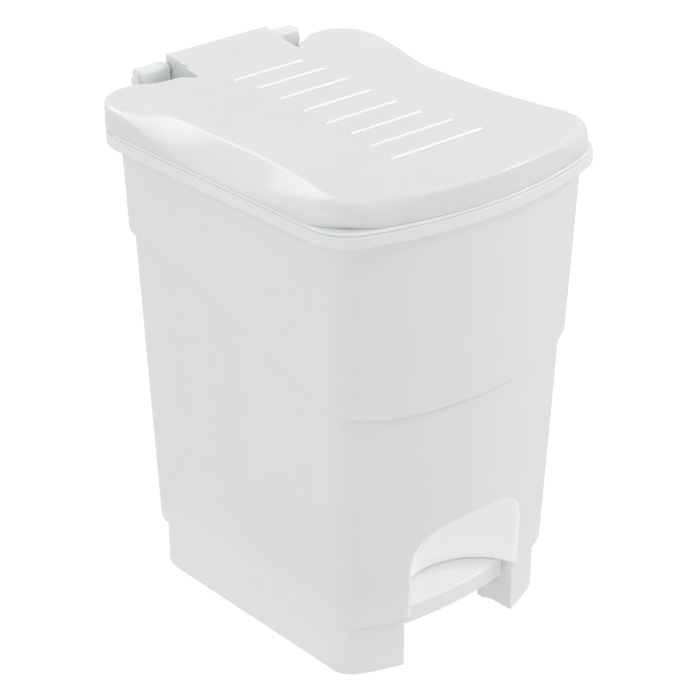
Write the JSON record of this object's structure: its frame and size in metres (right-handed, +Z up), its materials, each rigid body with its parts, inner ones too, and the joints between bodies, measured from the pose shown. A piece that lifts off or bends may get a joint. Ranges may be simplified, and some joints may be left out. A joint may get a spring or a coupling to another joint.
{
  "type": "pedal trash can",
  "caption": "Tall plastic pedal trash can: bow-fronted tapered body, lift-out bucket, waisted ribbed lid hinged at the back, foot pedal that lifts the lid through a lever and rod.",
  "frame": {"origin": "on the floor, at the middle of the overall box", "axes": "+Z up, -Y towards the pedal and front, +X to the right seen from the front"},
  "size_m": [0.279, 0.341, 0.4385],
  "materials": {
    "body_plastic": "satin, slightly translucent white moulded polypropylene",
    "lid_plastic": "semi-gloss white moulded polypropylene",
    "bucket_plastic": "satin white moulded polypropylene",
    "pedal_plastic": "satin white moulded polypropylene",
    "pin_plastic": "white moulded plastic",
    "steel": "galvanised drawn wire",
    "spring_steel": "stamped spring steel"
  },
  "bodies": {
    "root": {"outer_body": "body_plastic", "inner_bucket": "bucket_plastic", "hinge_pin_right": "pin_plastic", "hinge_pin_left": "pin_plastic", "pedal_axle": "steel", "axle_clip_right": "spring_steel", "axle_clip_left": "spring_steel"},
    "lid": {"lid": "lid_plastic"},
    "pedal": {"pedal_lever": "pedal_plastic"},
    "rod": {"push_rod": "steel", "rod_clip_lower": "spring_steel", "rod_clip_upper": "spring_steel"}
  },
  "joints": [
    {"name": "lid_hinge", "type": "hinge", "parent": "root", "child": "lid", "pos_m": [0, 0.1635, 0.422], "axis": [-1, 0, 0], "range_deg": [0, 80]},
    {"name": "pedal_pivot", "type": "hinge", "parent": "root", "child": "pedal", "pos_m": [0, -0.0285, 0.034], "axis": [1, 0, 0], "range_deg": [0, 16.8]},
    {"name": "rod_swing", "type": "hinge", "parent": "pedal", "child": "rod", "pos_m": [0, 0.1199, 0.01214], "axis": [-1, 0, 0], "range_deg": [0, 16.8]}
  ],
  "couplings": [
    {"joint": "pedal_pivot", "follows": "lid_hinge", "ratio": 0.2094},
    {"joint": "rod_swing", "follows": "lid_hinge", "ratio": 0.2094}
  ]
}
